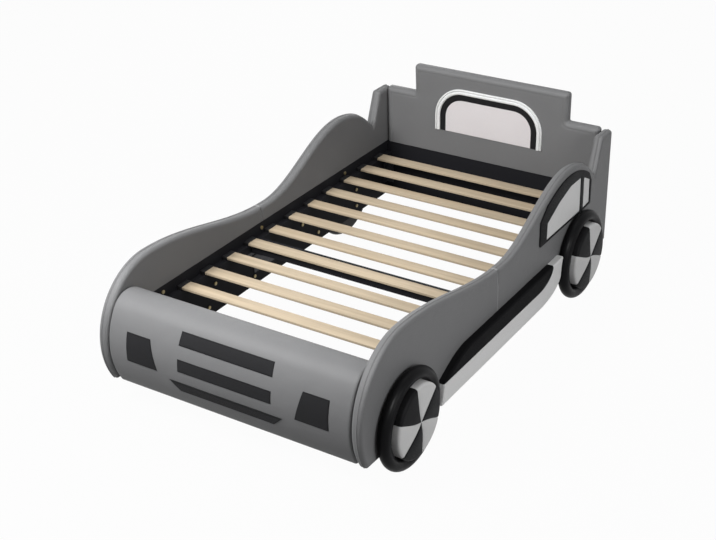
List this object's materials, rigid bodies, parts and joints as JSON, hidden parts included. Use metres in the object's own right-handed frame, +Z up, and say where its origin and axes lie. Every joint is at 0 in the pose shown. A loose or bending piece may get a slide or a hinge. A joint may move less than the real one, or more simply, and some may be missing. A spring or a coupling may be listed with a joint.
{
  "type": "car bed for children",
  "caption": "Children's bed shaped like a car, with padded leather-covered panels, an arched window in the headboard, a slatted base and wheels as feet.",
  "frame": {"origin": "on the floor, below the middle of the bed", "axes": "+X across, towards the right side seen from the foot end; +Y along the bed, from the nose at the foot end to the headboard; +Z up"},
  "size_m": [1.478, 2.32, 0.888],
  "materials": {
    "grey_leather": "soft semi-matt artificial leather, mid grey",
    "black_leather": "soft semi-matt artificial leather, black",
    "silver_leather": "soft semi-matt artificial leather, light grey",
    "white_leather": "soft semi-gloss artificial leather, white",
    "pale_leather": "smooth pale artificial leather",
    "board": "raw particle board",
    "plywood": "black stained plywood, matt",
    "black_board": "black stained board, matt",
    "slat_wood": "planed poplar, matt lacquer",
    "black_plastic": "moulded black plastic",
    "steel": "black powder-coated steel",
    "yellow_zinc": "yellow passivated zinc on steel"
  },
  "bodies": {
    "root": {"headboard_pad": "grey_leather", "headboard_board": "board", "window_border": "white_leather", "window_band": "black_leather", "window_pane": "pale_leather", "footboard_pad": "grey_leather", "footboard_formers": "board", "grille_patches": "black_leather", "headlamp_patches": "black_leather", "side_front_pad_left": "grey_leather", "side_front_pad_right": "grey_leather", "side_rear_pad_left": "grey_leather", "side_rear_pad_right": "grey_leather", "side_front_board_left": "board", "side_front_board_right": "board", "side_rear_board_left": "board", "side_rear_board_right": "board", "sill_pad_left": "silver_leather", "sill_pad_right": "silver_leather", "sill_insert_left": "black_leather", "sill_insert_right": "black_leather", "side_window_frame_left": "black_leather", "side_window_frame_right": "black_leather", "side_window_panes_left": "silver_leather", "side_window_panes_right": "silver_leather", "wheel_disc_front_left": "plywood", "wheel_disc_front_right": "plywood", "wheel_disc_rear_left": "plywood", "wheel_disc_rear_right": "plywood", "tyre_front_left": "black_leather", "tyre_front_right": "black_leather", "tyre_rear_left": "black_leather", "tyre_rear_right": "black_leather", "hub_grey_front_left": "silver_leather", "hub_grey_front_right": "silver_leather", "hub_grey_rear_left": "silver_leather", "hub_grey_rear_right": "silver_leather", "hub_black_front_left": "black_leather", "hub_black_front_right": "black_leather", "hub_black_rear_left": "black_leather", "hub_black_rear_right": "black_leather", "inner_rail_left": "black_board", "inner_rail_right": "black_board", "slat_ledge_left": "black_board", "slat_ledge_right": "black_board", "head_rail": "black_board", "foot_rail": "black_board", "cross_beam": "black_board", "beam_brackets": "steel", "slats": "slat_wood", "slat_caps": "black_plastic", "corner_brackets": "steel", "joining_plates": "steel", "bracket_screws": "steel", "rail_bolts": "yellow_zinc", "wheel_bolts": "yellow_zinc", "sill_bolts": "yellow_zinc"}
  },
  "joints": []
}
